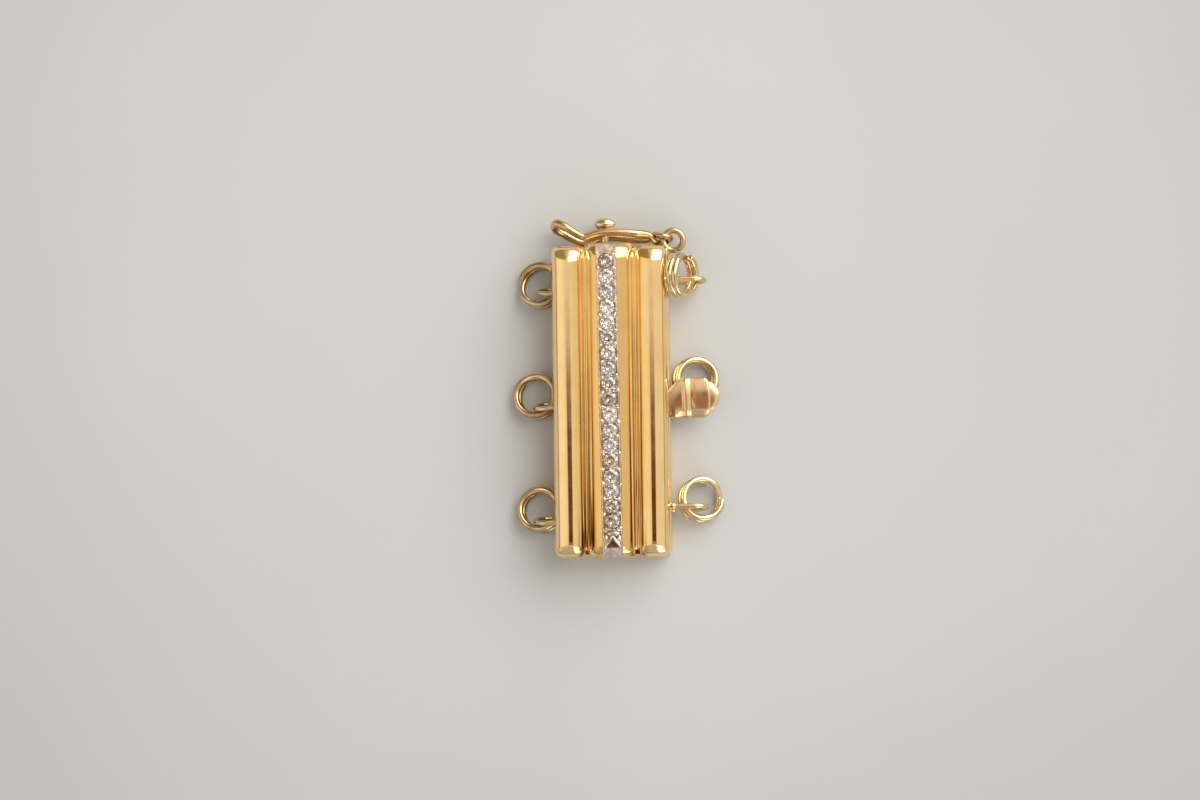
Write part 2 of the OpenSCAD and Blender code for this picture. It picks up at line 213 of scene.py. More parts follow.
def feed(tree, socket, value):
    """Sets a socket to a number or a colour, or links an output to it."""
    if isinstance(value, (int, float)):
        socket.default_value = value
    elif isinstance(value, tuple):
        socket.default_value = (*value, 1)
    else:
        tree.links.new(value, socket)


def math_of(tree, operation, *values):
    node = tree.nodes.new("ShaderNodeMath")
    node.operation = operation
    for socket, value in zip(node.inputs, values):
        feed(tree, socket, value)
    return node.outputs[0]


def mixed(tree, kind, below, above, share):
    """Lays one colour over another, by MIX or MULTIPLY, as far as the share says."""
    node = tree.nodes.new("ShaderNodeMix")
    node.data_type = "RGBA"
    node.blend_type = kind
    feed(tree, node.inputs["Factor"], share)
    feed(tree, node.inputs["A"], below)
    feed(tree, node.inputs["B"], above)
    return node.outputs["Result"]


def ramp(tree, value, stops):
    node = tree.nodes.new("ShaderNodeValToRGB")
    elements = node.color_ramp.elements
    while len(elements) < len(stops):
        elements.new(0.5)
    for element, (at, colour) in zip(elements, stops):
        element.position = at
        element.color = (*colour, 1)
    tree.links.new(value, node.inputs[0])
    return node.outputs[0]


def grey(value):
    return (value,) * 3


def coordinates(tree, scale=(1, 1, 1)):
    """The piece's own coordinates in metres; a scale below 1 draws a pattern out."""
    coord = tree.nodes.new("ShaderNodeTexCoord")
    mapping = tree.nodes.new("ShaderNodeMapping")
    mapping.inputs["Scale"].default_value = scale
    tree.links.new(coord.outputs["Object"], mapping.inputs["Vector"])
    return mapping.outputs["Vector"]


def noise(tree, vector, scale, detail, rough=0.5):
    node = tree.nodes.new("ShaderNodeTexNoise")
    node.inputs["Scale"].default_value = scale
    node.inputs["Detail"].default_value = detail
    node.inputs["Roughness"].default_value = rough
    tree.links.new(vector, node.inputs["Vector"])
    return node.outputs["Fac"]


def bump(tree, height, distance, strength, below=None):
    node = tree.nodes.new("ShaderNodeBump")
    node.inputs["Distance"].default_value = distance
    node.inputs["Strength"].default_value = strength
    tree.links.new(height, node.inputs["Height"])
    if below is not None:
        tree.links.new(below, node.inputs["Normal"])
    return node.outputs["Normal"]


def new_material(name):
    material = bpy.data.materials.new(name)
    material.use_nodes = True
    tree = material.node_tree
    shader = next(n for n in tree.nodes if n.type == "BSDF_PRINCIPLED")
    return material, tree, shader


def valley_light_and_streaks(tree, colour):
    """Painted reflected light: richer yellow bands beside the strip and between the lobes, with dark streaks
    towards the lower end.
    """
    where = tree.nodes.new("ShaderNodeSeparateXYZ")
    tree.links.new(coordinates(tree), where.inputs[0])
    # Distance from the middle line, where 1 stands for 4 mm
    across = math_of(tree, "MULTIPLY", math_of(tree, "ABSOLUTE", where.outputs["X"]), 250.0)
    groove, plain = (0.98, 0.92, 0.82), (0.96, 0.835, 0.63)
    rich, mild = (0.85, 0.66, 0.385), (0.92, 0.745, 0.455)
    reflection_bands = ramp(tree, across, [(0.37, rich), (0.42, plain), (0.45, groove), (0.49, groove), (0.51, mild),
                                (0.57, mild), (0.585, groove), (0.62, groove), (0.65, plain),
                                (0.69, mild), (0.75, mild), (0.84, plain)])
    inside = ramp(tree, across, [(0.33, NONE), (0.42, WHOLE), (0.68, WHOLE), (0.76, NONE)])
    # 0 at y = 9.3 mm and 1 at y = -12.9 mm
    downwards = math_of(tree, "MULTIPLY_ADD", where.outputs["Y"], -45.0, 0.42)
    lower = ramp(tree, downwards, [(0.1, grey(0.15)), (0.6, grey(0.33)), (0.95, WHOLE)])
    grain = noise(tree, coordinates(tree, (1, 0.035, 1)), 3100, 2)
    uneven = math_of(tree, "MULTIPLY_ADD", lower, 0.085, grain)
    streaks = ramp(tree, uneven, [(0.53, NONE), (0.62, WHOLE)])
    share = math_of(tree, "MULTIPLY", math_of(tree, "MULTIPLY", inside, lower), streaks)
    banded = mixed(tree, "MULTIPLY", colour, reflection_bands, 1.0)
    return mixed(tree, "MULTIPLY", banded, (0.30, 0.18, 0.08), share)


def metal(name, deep, light, recess_shade, rough, wave, grain=0.5, lines=(1, 1, 1), drift_scale=420, spots=None,
          valleys=False):
    """Polished metal that drifts from a deep to a light colour, has painted shade in its recesses and shows
    fine wear.

    wave holds the scale and depth of slow dents, grain is the strength of the scratches, lines draws both
    out, and spots is a colour that shows here and there.
    """
    material, tree, shader = new_material(name)
    shader.inputs["Metallic"].default_value = 1.0
    even = coordinates(tree)
    stops = [(0.32, deep), (0.62, light)]
    if spots:
        stops += [(0.665, light), (0.70, spots)]
    drift = ramp(tree, noise(tree, even, drift_scale, 2), stops)
    # Painted shade: where nearby metal closes in, the colour turns towards the recess shade
    nearby = tree.nodes.new("ShaderNodeAmbientOcclusion")
    nearby.inputs["Distance"].default_value = RECESS_SHADE_REACH
    nearby.samples = 6
    recess = ramp(tree, nearby.outputs["AO"], [(0.15, WHOLE), (0.55, NONE)])
    colour = mixed(tree, "MIX", drift, recess_shade, math_of(tree, "MULTIPLY", recess, RECESS_SHADE_SHARE))
    # The lobes get painted reflected light in bands along their valleys
    if valleys:
        colour = valley_light_and_streaks(tree, colour)
    tree.links.new(colour, shader.inputs["Base Color"])
    smear = ramp(tree, noise(tree, even, 900, 4, 0.6), [(0.3, grey(rough)), (0.75, grey(rough * 1.9))])
    tree.links.new(smear, shader.inputs["Roughness"])
    wave_scale, wave_depth = wave
    dents = bump(tree, noise(tree, coordinates(tree, lines), wave_scale, 1), wave_depth, 1.0)
    fine = noise(tree, coordinates(tree, tuple(3 * line for line in lines)), SCRATCH_SCALE, 4, 0.65)
    tree.links.new(bump(tree, fine, SCRATCH_DEPTH, grain, dents), shader.inputs["Normal"])
    return material


def clear_stone(name, light, dark, bend):
    """Clear faceted stone with a faint cloud in it."""
    material, tree, shader = new_material(name)
    shader.inputs["Transmission Weight"].default_value = 1.0
    shader.inputs["IOR"].default_value = bend
    shader.inputs["Roughness"].default_value = 0.02
    cloud = ramp(tree, noise(tree, coordinates(tree), 1900, 2), [(0.38, dark), (0.6, light)])
    tree.links.new(cloud, shader.inputs["Base Color"])
    return material


def table_top(name):
    """Pale table top, matt, with a faint mottle and a painted pool of light, brightest behind the clasp."""
    material, tree, shader = new_material(name)
    shader.inputs["Roughness"].default_value = 0.75
    shader.inputs["Specular IOR Level"].default_value = 0.2
    coord = coordinates(tree)
    mottle = ramp(tree, noise(tree, coord, 28, 3),
                  [(0.3, (0.555, 0.568, 0.588)), (0.7, (0.575, 0.588, 0.608))])
    # Distance from the middle of the painted pool of light, where 1 stands for 10 cm
    away = tree.nodes.new("ShaderNodeVectorMath")
    away.operation = "DISTANCE"
    away.inputs[1].default_value = (0.004, 0.018, 0)
    tree.links.new(coord, away.inputs[0])
    painted_light_falloff = ramp(tree, math_of(tree, "MULTIPLY", away.outputs["Value"], 10.0),
                   [(0.15, WHOLE), (0.5, (0.91, 0.915, 0.92)), (0.8, (0.77, 0.78, 0.795))])
    tree.links.new(mixed(tree, "MULTIPLY", mottle, painted_light_falloff, 1.0), shader.inputs["Base Color"])
    tree.links.new(bump(tree, noise(tree, coord, 900, 3), 0.00001, 0.3), shader.inputs["Normal"])
    return material


YELLOW = metal("yellow_gold", (0.93, 0.67, 0.32), (0.97, 0.72, 0.38), (0.74, 0.42, 0.14), 0.045,
               (640, 0.00003), 0.10, ALONG_Y)
# The lobes' gold, with painted reflected light along the valleys
LOBED = metal("lobed_gold", (0.97, 0.80, 0.51), (1.0, 0.86, 0.60), (0.74, 0.42, 0.14), 0.045,
              (640, 0.00003), 0.10, ALONG_Y, valleys=True)
PALE = metal("pale_gold_wire", (0.62, 0.50, 0.28), (0.80, 0.66, 0.42), (0.34, 0.22, 0.09), 0.12,
             (700, 0.000012))
# A darker copy of the wire gold: painted shade on the left rings, which lie in the case's shadow; a darker
# tone on the catch and the eye
BROWN = metal("darker_gold_wire", (0.42, 0.29, 0.14), (0.72, 0.55, 0.31), (0.26, 0.14, 0.05), 0.15,
              (700, 0.000012), drift_scale=620)
ROSE = metal("rose_gold_tab", (0.76, 0.54, 0.30), (0.83, 0.63, 0.38), (0.52, 0.28, 0.10), 0.14,
             (420, 0.00003), 0.3)
WHITE = metal("white_gold", (0.57, 0.48, 0.37), (0.86, 0.78, 0.66), (0.32, 0.22, 0.12), 0.13,
              (1500, 0.00003), drift_scale=1900, spots=(0.82, 0.50, 0.20))
# Near-black metal for the pointed cut behind the last stone: painted shade
PAINTED_SHADE = metal("painted_shade_pit", (0.10, 0.05, 0.035), (0.24, 0.12, 0.08), (0.05, 0.03, 0.02), 0.2,
             (1500, 0.00003), drift_scale=1500)
STONES = [
    clear_stone("clear_stone", (0.96, 0.93, 0.89), (0.76, 0.69, 0.61), 2.2),
    clear_stone("warm_stone", (0.88, 0.79, 0.67), (0.55, 0.43, 0.32), 2.1),
    clear_stone("grey_stone", (0.86, 0.84, 0.84), (0.48, 0.44, 0.42), 2.3),
    clear_stone("smoky_stone", (0.78, 0.71, 0.64), (0.38, 0.28, 0.22), 2.0),
]


# Pieces


def mesh_of(name, form):
    mesh = bpy.data.meshes.new(name)
    mesh.from_pydata([(x * MM, y * MM, z * MM) for x, y, z in form.points], [], form.faces)
    return mesh


def object_of(name, form):
    obj = bpy.data.objects.new(name, mesh_of(name, form))
    bpy.context.scene.collection.objects.link(obj)
    return obj


def turn_outward(mesh):
    """Makes all faces of a mesh face outward."""
    shape = bmesh.new()
    shape.from_mesh(mesh)
    bmesh.ops.recalc_face_normals(shape, faces=shape.faces)
    shape.to_mesh(mesh)
    shape.free()


def settle(obj, material, body, stands_for=(), sharp=38):
    """Turns the faces outward, smooths the shading up to an angle, and puts the piece on its body."""
    turn_outward(obj.data)
    obj.data.shade_smooth()
    obj.data.set_sharp_from_angle(angle=math.radians(sharp))
    obj.data.materials.clear()
    obj.data.materials.append(material)
    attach(obj, body)
    if stands_for:
        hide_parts(*stands_for)


def piece(name, form, material, body, stands_for=(), sharp=38):
    settle(object_of(name, form), material, body, stands_for, sharp)


def carve(name, form, cutters):
    """Cuts each of the other forms out of a form."""
    solid = object_of(name, form)
    turn_outward(solid.data)
    tools = []
    for cutter in cutters:
        tool = object_of(name + "_cut", cutter)
        turn_outward(tool.data)
        cut = solid.modifiers.new("cut", "BOOLEAN")
        cut.operation = "DIFFERENCE"
        cut.solver = "EXACT"
        cut.object = tool
        tools.append(tool)
    bpy.context.view_layer.update()
    depsgraph = bpy.context.evaluated_depsgraph_get()
    result = bpy.data.meshes.new_from_object(solid.evaluated_get(depsgraph))
    solid.modifiers.clear()
    solid.data = result
    for tool in tools:
        bpy.data.objects.remove(tool)
    return solid


# Case: three lobes over a box
HALF_LENGTH = 13.55
BOX_HEIGHT = 3.35
LOBE_R = 1.4
LOBE_X = 3.63
MIDDLE_R = 2.35
MIDDLE_HALF = 2.25
MIDDLE_Z = BOX_HEIGHT - 0.75
END_ROUND = 1.4
CORNER = 0.7
BASE = BOX_HEIGHT - 0.05
PILLOW = 0.9  # how widely the arch of a lobe and its turned-down end blend
VALLEY_X, VALLEY_Z, VALLEY_R = 2.145, 4.068, 0.25


def stations_along(y0, y1):
    """Places along a lobe, closer together where its ends turn down, each with its drop."""
    angles = [5 * i for i in range(18)] + [88, 90]
    low = [(y0 + END_ROUND - END_ROUND * sind(a), END_ROUND * (1 - cosd(a))) for a in reversed(angles)]
    high = [(y1 - END_ROUND + END_ROUND * sind(a), END_ROUND * (1 - cosd(a))) for a in angles]
    straight = [(y0 + END_ROUND + (y1 - y0 - 2 * END_ROUND) * i / 40, 0) for i in range(1, 40)]
    return low + straight + high


def lobe(form, xc, zc, r, half_x, y0, y1):
    """A half-round rib whose ends turn down like a pillow."""
    crest = zc + r
    rings = []
    for y, drop in stations_along(y0, y1):
        to_end = min(y - y0, y1 - y)
        inset = CORNER - math.sqrt(max(CORNER ** 2 - max(CORNER - to_end, 0) ** 2, 0))
        half = half_x - inset
        share = (crest - drop - BASE) / (crest - BASE)
        ring = []
        for k in range(41):
            across = sind(-90 + 4.5 * k)
            arch = zc + math.sqrt(max(r * r - (half_x * across) ** 2, 0)) - BASE
            cut = soft_min(arch, crest - drop - BASE, PILLOW) if drop > 0.12 else arch * share
            height = 0.5 * arch * share + 0.5 * min(cut, arch)
            ring.append((xc + half * across, y, BASE + max(height, 0.02)))
        ring.append((xc + half, y, BASE))
        ring.append((xc - half, y, BASE))
        rings.append(ring)
    form.loft(rings)


def valley(form, side):
    """The soft hollow where an outer lobe meets the middle one."""
    rings = []
    for y, depth in ((-13.2, 0.5), (-12.9, 0.12), (-12.65, 0.01), (-12.5, 0.0), (-12.3, 0.0),
                     (12.3, 0.0), (12.5, 0.0), (12.65, 0.01), (12.9, 0.12), (13.2, 0.5)):
        ring = [(side * x, y, z - depth) for x, z in arc(VALLEY_X, VALLEY_Z, VALLEY_R, 214.4, 334.2, 12)]
        rings.append(ring + [(side * 2.5, y, 3.0), (side * 1.9, y, 3.0)])
    form.loft(rings)


lobes = Form()
lobe(lobes, -LOBE_X, BOX_HEIGHT, LOBE_R, LOBE_R, -HALF_LENGTH, HALF_LENGTH)
lobe(lobes, LOBE_X, BOX_HEIGHT, LOBE_R, LOBE_R, -HALF_LENGTH, HALF_LENGTH)
lobes.slab(-2.63, 2.63, -13.3, 13.3, BOX_HEIGHT - 0.1, 3.6, 0.1, 0.04)
valley(lobes, -1)
valley(lobes, 1)
piece("case_lobes", lobes, LOBED, "case", ["case"])

# The white strip lies in a channel of the middle lobe and leans a little
STRIP_BOTTOM = 4.27
STRIP_TOP = 4.83
STRIP_HALF = 0.87
STRIP_ENDS = (-13.60, 13.72)
STRIP_SHIFT = -0.13
STRIP_LEAN = 0.6  # degrees
CHANNEL_HALF = 0.89
ON_STRIP = Matrix.Translation((STRIP_SHIFT, 0, 0)) @ turned(STRIP_LEAN, "Z")


def on_strip(form):
    """Moves a form from the strip's own frame to its place."""
    form.points = [tuple(ON_STRIP @ Vector(p)) for p in form.points]
    return form


middle = Form()
lobe(middle, 0, MIDDLE_Z, MIDDLE_R, MIDDLE_HALF, -HALF_LENGTH, HALF_LENGTH + 0.25)
channel = Form()
corners = [(-CHANNEL_HALF, -15), (CHANNEL_HALF, -15), (CHANNEL_HALF, 15), (-CHANNEL_HALF, 15)]
channel.loft([[(x, y, z) for x, y in corners] for z in (STRIP_BOTTOM - 0.02, 6.5)])
settle(carve("case_middle_lobe", middle, [on_strip(channel)]), LOBED, "case")

# Box, open to the right for the tongue
LEFT_WALL = -3.7
RIGHT_WALL = 4.5
shell = Form()
shell.slab(LEFT_WALL, RIGHT_WALL, -13.4, 13.4, 0, BOX_HEIGHT, 0.2, 0.1)
cavity = Form()
cavity.slab(-3.2, 4.22, -12.9, 12.9, 0.5, 3.0, 0.02, 0.01)
opening = Form()
opening.slab(0, 6, -12.88, 12.88, 0.51, 2.75, 0.02, 0.01)
notch = Form()
notch.slab(3.75, 6, -1.7, 1.15, 2.65, 3.3, 0.05, 0.01)
settle(carve("case_box", shell, [cavity, opening, notch]), YELLOW, "case")

# Fixed strand loops: a staple of wire and a bead of solder at each root
LOOP_Z = 1.65
LOOP_HALF = 0.975
LOOP_R = 0.225
SOLDER_R = 0.36
LOOP_PITCH = 9.9
BAR_FACE = 5.2


def staple(form, root, yaw, roll, reach):
    """A loop that reaches out from its root, turned about the vertical and rolled about its own length."""
    place = Matrix.Translation(root) @ turned(yaw, "Z")
    place = place @ turned(roll, "X")
    straight = reach - LOOP_R - LOOP_HALF
    path = [(-0.25 + (straight + 0.25) * i / 8, 0, -LOOP_HALF) for i in range(8)]
    path += [(x, 0, z) for x, z in arc(straight, 0, LOOP_HALF, -90, 90, 24)]
    path += [(straight - (straight + 0.25) * i / 8, 0, LOOP_HALF) for i in range(1, 9)]
    form.tube([place @ Vector(p) for p in path], LOOP_R, 20, place.to_3x3() @ Vector((0, 1, 0)))
    for side in (-1, 1):
        form.ball(squashed(place @ Vector((0.1, 0, side * LOOP_HALF)), (1.0, 0.95, 0.95)), SOLDER_R, 24)


left_loops = Form()
for i, (nudge, yaw, reach) in enumerate(((-0.05, 0, 2.65), (0.15, 8, 3.08), (-0.05, 4, 3.16))):
    staple(left_loops, (LEFT_WALL, -0.25 + (1 - i) * LOOP_PITCH + nudge, LOOP_Z), 180 + yaw, -9, reach)
piece("case_loops", left_loops, PALE, "case")

right_loops = Form()
for i, (nudge, roll, reach) in enumerate(((-0.05, -9, 3.3), (0.0, 9, 3.0), (-0.03, -9, 3.2))):
    staple(right_loops, (BAR_FACE, 0.6 + (1 - i) * LOOP_PITCH + nudge, LOOP_Z), 0, roll, reach)
piece("tongue_loops", right_loops, PALE, "tongue")

# Peg with its oval head
WIRE_Z = 1.6  # height of the peg, the eye and the catch's wire
PEG_X = -0.3
PEG_R = 0.3
HEAD_Y = 15.45
HEAD_R = 0.54
HEAD_HALF = 0.93
peg = Form()
head = Matrix.Translation((PEG_X, HEAD_Y, WIRE_Z)) @ turned(90, "Y")
peg.lathe([(HEAD_R * cosd(a), HEAD_HALF * sind(a)) for a in range(-90, 91, 10)], head, 32)
peg.tube([(PEG_X, y, WIRE_Z) for y in (13.2, 14.3, HEAD_Y)], PEG_R, 24, (0, 0, 1))
piece("case_peg", peg, PALE, "case")

# Tongue: end bar, folded leaf and neck
bar = Form()
bar.slab(4.55, BAR_FACE, -13.35, 13.35, 0.05, 2.85, 0.15, 0.28)
leaf = [(4.65, 0.62), (4.65, 0.92)] + arc(-2.5, 1.12, 0.2, 270, 90, 10) + [(4.15, 2.35), (4.15, 2.65)]
leaf += [(-2.5, 1.62)] + arc(-2.5, 1.12, 0.5, 95, 270, 16)
bar.prism(leaf, -12.5, 12.5)
neck = [(3.2, 2.3), (3.7, 2.4), (4.1, 2.96), (5.6, 2.96), (5.6, 3.24), (4.0, 3.26), (3.4, 2.57), (3.2, 2.55)]
bar.prism(neck, -1.43, 0.9)
piece("tongue_bar_and_leaf", bar, YELLOW, "tongue", ["tongue"])

# Thumb tab: a slightly domed plate with a rib, a groove and a rounded nose
TAB_Z = 2.96
TAB_END = 8.7
LOW_ROUND = 0.95
HIGH_ROUND = 0.45
RIB_X, RIB_HALF, RIB_HEIGHT = 6.56, 0.38, 0.15
FALL_X, FLOOR_X, RISE_X, LAND_X = 6.94, 6.98, 7.27, 7.37  # from where to where the groove falls and rises
NOSE_X, NOSE_ROUND = 8.48, 0.22
PLATE, FLOOR, LAND = 0.30, 0.18, 0.36  # thickness before, in and beyond the groove


def tab_top(x):
    """Height of the tab's middle line over its underside."""
    if x <= FALL_X:
        across = math.cos((x - RIB_X) / RIB_HALF * math.pi / 2) if abs(x - RIB_X) < RIB_HALF else 0
        return PLATE + RIB_HEIGHT * max(across, 0) ** 1.3
    if x < FLOOR_X:
        return PLATE + (FLOOR - PLATE) * (x - FALL_X) / (FLOOR_X - FALL_X)
    if x < RISE_X:
        return FLOOR
    if x < LAND_X:
        return FLOOR + (LAND - FLOOR) * (x - RISE_X) / (LAND_X - RISE_X)
    if x < NOSE_X:
        return LAND
    return LAND - 0.30 * (1 - math.sqrt(max(1 - ((x - NOSE_X) / NOSE_ROUND) ** 2, 0)))


def rounded_off(x, r):
    """How far an edge of the tab draws in at this distance from the body, for a corner of radius r."""
    if x <= TAB_END - r:
        return 0
    return r * (1 - math.sqrt(max(1 - ((x - TAB_END + r) / r) ** 2, 0)))


def tab_ring(x):
    """The tab's outline across its width, from one edge over the top to the other and back below."""
    spread = within((x - 5.0) / 1.1)
    low = -1.45 - 0.10 * spread + rounded_off(x, LOW_ROUND)
    high = 0.92 + 1.03 * spread - rounded_off(x, HIGH_ROUND)
    middle_y = (low + high) / 2
    half = (high - low) / 2
    grown = within((x - 5.2) / 1.0)
    lean = 0.036 * grown + 0.06 * within((x - 7.4) / 1.2)
    thick = tab_top(x)
    crest = 0.3
    upper, lower = [], []
    for k in range(41):
        v = sind(-90 + 4.5 * k)
        edge = min((1 - abs(v)) * half / 0.28, 1)
        round_off = math.sqrt(max(1 - (1 - edge) ** 2, 0))
        y = middle_y + half * v
        from_crest = (crest - v) / 1.3 if v < crest else (v - crest) / 0.7
        rolled = within((-0.85 - y) / 0.7)
        drop = 0.32 if v < crest else 0.07
        bed = TAB_Z - grown * (drop * from_crest ** 2 + 0.30 * rolled ** 1.3)
        slant = (middle_y - y) * lean
        upper.append((x + slant, y, bed + thick * (0.5 + 0.5 * round_off) if 0 < k < 40 else bed + thick / 2))
        if 0 < k < 40:
            lower.append((x + slant, y, bed + thick * (0.5 - 0.5 * round_off)))
    return upper + lower[::-1]


tab = Form()
stations = [5.0, 5.2, 5.4, 5.6, 5.8, 6.0, 6.1, 6.16]
stations += [6.18 + 0.04 * i for i in range(19)]
stations += [6.92, 6.94, 6.98, 7.05, 7.15, 7.24, 7.27, 7.29, 7.31, 7.33, 7.35, 7.37, 7.42, 7.55, 7.65, 7.75,
             7.85, 7.95, 8.05, 8.15, 8.25, 8.35, 8.45]
stations += [NOSE_X + (NOSE_ROUND - 0.001) * sind(a) for a in range(0, 91, 9)]
tab.loft([tab_ring(x) for x in stations])
nose = [(0, 0), (1.15, 0), (1.30, 0.03), (1.37, 0.10), (1.365, 0.15), (1.32, 0.21), (1.22, 0.26),
        (1.05, 0.30), (0.85, 0.32), (0, 0.33)]
tab.lathe(nose, Matrix.Translation((8.1, 0.35, TAB_Z - 0.14)), 72)
piece("tongue_tab", tab, ROSE, "tongue", sharp=45)

# Eye for the catch, on a short shank
EYE_X, EYE_Y, EYE_R = 5.64, 13.97, 0.86
EYE_WIRE_R = 0.27
SHANK_R = 0.24
SHANK_LENGTH = 0.82
eye = Form()
eye.tube([(EYE_X + EYE_R * math.cos(w), EYE_Y + EYE_R * math.sin(w), WIRE_Z)
          for w in (2 * math.pi * k / 56 for k in range(56))], EYE_WIRE_R, 20, (0, 0, 1), closed=True)
eye.tube([(4.85 + 0.616 * s * SHANK_LENGTH, 12.6 + 0.788 * s * SHANK_LENGTH, WIRE_Z) for s in (0, 0.5, 1)],
         SHANK_R, 20, (0, 0, 1))
piece("tongue_eye", eye, BROWN, "tongue")

# Split rings: two turns of wire, one on the other
RING_R = 1.725
RING_TURN = 652.5  # degrees that the wire winds
STEP_FROM, STEP_SPAN = 292.5, 67.5  # degrees along it where it steps up to its second turn
COIL = 0.57  # height from one turn to the next


def split_ring(name, body, material, wire_r, x, y, z, high, tilt, step_at, coil=COIL):
    """A ring tilted up towards the angle high; step_at turns the place where its wire steps up."""
    place = Matrix.Translation((x, y, z)) @ turned(high, "Z")
    place = place @ turned(-tilt, "Y")
    path = []
    for i in range(151):
        g = RING_TURN * i / 150
        up = within((g - STEP_FROM) / STEP_SPAN)
        # From -0.5 on the lower turn to 0.5 on the upper one
        layer = up * up * (3 - 2 * up) * 0.35 + up * 0.65 - 0.5
        a = math.radians(g + step_at - high - RING_TURN / 2)
        path.append(place @ Vector((RING_R * math.cos(a) - layer * 0.12, RING_R * math.sin(a), layer * coil)))
    ring = Form()
    ring.tube(path, wire_r, 18, place.to_3x3() @ Vector((0, 0, 1)))
    piece(name, ring, material, body, [name.replace("split_", "")])


# The left rings take the darker wire gold: painted shade, as they lie in the case's shadow
split_ring("split_ring_left_1", "case", BROWN, 0.295, -5.95, 10.18, 1.08, -35, 18, 195)
split_ring("split_ring_left_2", "case", BROWN, 0.295, -6.45, 0.52, 1.05, -33, 17, 106)
split_ring("split_ring_left_3", "case", BROWN, 0.295, -6.25, -9.40, 1.08, -35, 18, 80)
split_ring("split_ring_right_1", "tongue", PALE, 0.30, 6.38, 10.89, 2.94, 180, 57, 95, 0.44)
split_ring("split_ring_right_2", "tongue", PALE, 0.28, 7.44, 1.79, 1.03, 200, 16.3, 305)
split_ring("split_ring_right_3", "tongue", PALE, 0.28, 7.80, -8.66, 1.08, 210, 18, 30)

# Safety catch: a closed figure-eight of wire. ROUTE gives x, the y of its upper and of its lower strand, and
# the share of SPREAD that each lies above or below the middle. OVER and UNDER are the two strands where
# they cross, and SMALL is the small loop that hangs in the eye.
SPREAD = 0.85
CATCH_TIP = (-4.70, 15.24, 0)
ROUTE = [
    (-4.55, 15.56, 14.98, 0.5), (-4.00, 15.38, 14.72, 0.88), (-3.40, 15.02, 14.36, 1.0),
    (-2.75, 14.62, 14.03, 1.0), (-2.15, 14.32, 13.86, 1.0), (-1.50, 14.52, 13.98, 1.0),
    (-0.80, 14.68, 14.20, 1.0), (0.10, 14.74, 14.34, 1.0), (1.30, 14.70, 14.20, 1.0),
    (2.40, 14.60, 14.08, 0.94), (3.00, 14.56, 14.05, 0.72),
]
OVER = [(3.48, 14.46, 0.50), (3.74, 14.24, 0.38), (4.00, 13.92, 0.14), (4.24, 13.82, -0.22)]
UNDER = [(3.44, 14.08, -0.48), (3.70, 14.18, -0.38), (3.95, 14.42, -0.18), (4.24, 14.48, 0.14)]
SMALL = [(4.78 + 0.62 * math.cos(w), 14.10 + 0.28 * math.sin(w * 0.69), 0.62 * math.sin(w))
         for w in (math.radians(a) for a in range(-130, 131, 26))]

guide = [CATCH_TIP] + [(x, y, SPREAD * share) for x, y, _, share in ROUTE] + OVER + SMALL
guide += UNDER[::-1] + [(x, y, -SPREAD * share) for x, _, y, share in ROUTE][::-1]
wire = [p + Vector((0, 0, WIRE_Z)) for p in smooth_loop(guide, 6)]
for _ in range(4):
    wire = [(wire[i - 1] + 2 * wire[i] + wire[(i + 1) % len(wire)]) / 4 for i in range(len(wire))]
# Thicker at the left end, and thinner at the crossing
thickness = [0.32 + 0.04 * within((-3.0 - p.x) / 0.6) - 0.05 * within((p.x - 3.0) / 0.9) for p in wire]
catch = Form()
catch.tube(wire, thickness, 20, (0, 1, 0), closed=True)
piece("safety_catch_wire", catch, BROWN, "catch", ["safety_catch"])

# White strip: a bar with bevelled ends, a seat for each stone and a pointed cut behind the last one
STONE_COUNT = 18
STONE_PITCH = 1.335
FIRST_STONE_Y = 12.22
STONE_R = 0.645
SEAT_R = 0.664
SEAT_DEPTH = 0.52
BEVEL = 0.85

low_end, high_end = STRIP_ENDS
side = [(low_end, STRIP_BOTTOM), (high_end, STRIP_BOTTOM), (high_end, STRIP_BOTTOM + 0.07),
        (high_end - 0.05, STRIP_BOTTOM + 0.13), (high_end - BEVEL, STRIP_TOP), (low_end + BEVEL, STRIP_TOP),
        (low_end + 0.05, STRIP_BOTTOM + 0.13), (low_end, STRIP_BOTTOM + 0.07)]
strip = Form()
strip.loft([[(x, y, z) for y, z in side] for x in (-STRIP_HALF, STRIP_HALF)])
seats = []
for parity in (0, 1):
    group = Form()
    for i in range(parity, STONE_COUNT, 2):
        at = Matrix.Translation((0, FIRST_STONE_Y - i * STONE_PITCH, STRIP_TOP - 0.045))
        group.lathe([(0, -SEAT_DEPTH), (SEAT_R, 0), (SEAT_R, 0.5), (0, 0.5)], at, 32)
    seats.append(on_strip(group))
tail = Form()
tail.loft([[(0, -11.95, z), (-0.56, -12.66, z), (0.56, -12.66, z)]
           for z in (STRIP_BOTTOM + 0.08, STRIP_TOP + 0.1)])
settle(carve("white_strip", on_strip(strip), seats + [on_strip(tail)]), WHITE, "case",
       ["stone_plate"], 30)

